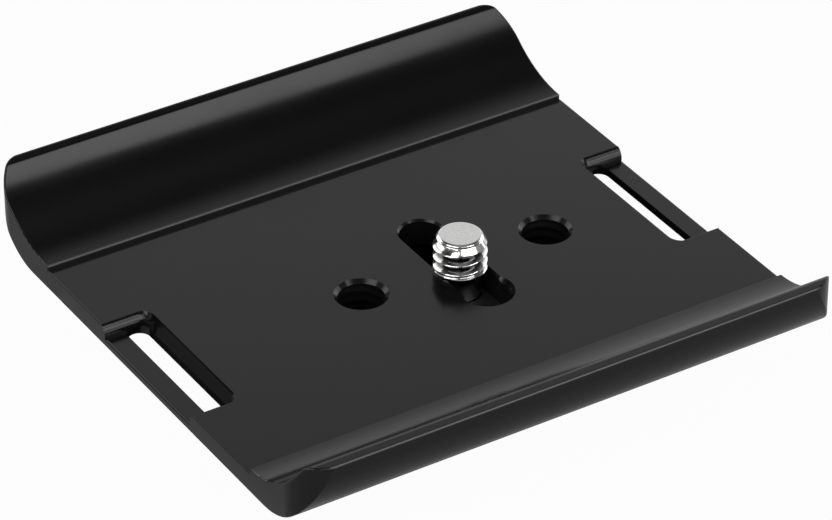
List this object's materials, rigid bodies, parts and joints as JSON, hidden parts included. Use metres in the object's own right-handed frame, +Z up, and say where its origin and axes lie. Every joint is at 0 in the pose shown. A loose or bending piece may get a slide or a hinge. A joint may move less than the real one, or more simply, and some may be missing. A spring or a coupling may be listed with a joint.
{
  "type": "camera quick release plate",
  "caption": "Square camera quick release plate with hollow raised lips front and back, strap slots at the sides, tapped holes and a captive sliding camera screw over a dovetail rail.",
  "frame": {"origin": "middle of the plate's outline, on the flat foot of the dovetail rail", "axes": "+X along the lips towards the right side, +Y from the lower front lip to the higher back lip, +Z up out of the bed along the camera screw"},
  "size_m": [0.0702, 0.0707, 0.0165],
  "materials": {
    "black_anodised": "satin black anodised",
    "bright_steel": "bright nickel plated thread",
    "black_nylon": "matt"
  },
  "bodies": {
    "plate": {"plate": "black_anodised"},
    "slider": {"screw_washer": "black_nylon"},
    "screw": {"camera_screw": "bright_steel"}
  },
  "joints": [
    {"name": "screw_slide", "type": "slide", "parent": "plate", "child": "slider", "axis": [0, 1, 0], "range_m": [-0.0057, 0.0083]},
    {"name": "screw_spin", "type": "hinge", "parent": "slider", "child": "screw", "pos_m": [0.00535, -0.0023, 0.005], "axis": [0, 0, 1], "continuous": true}
  ]
}
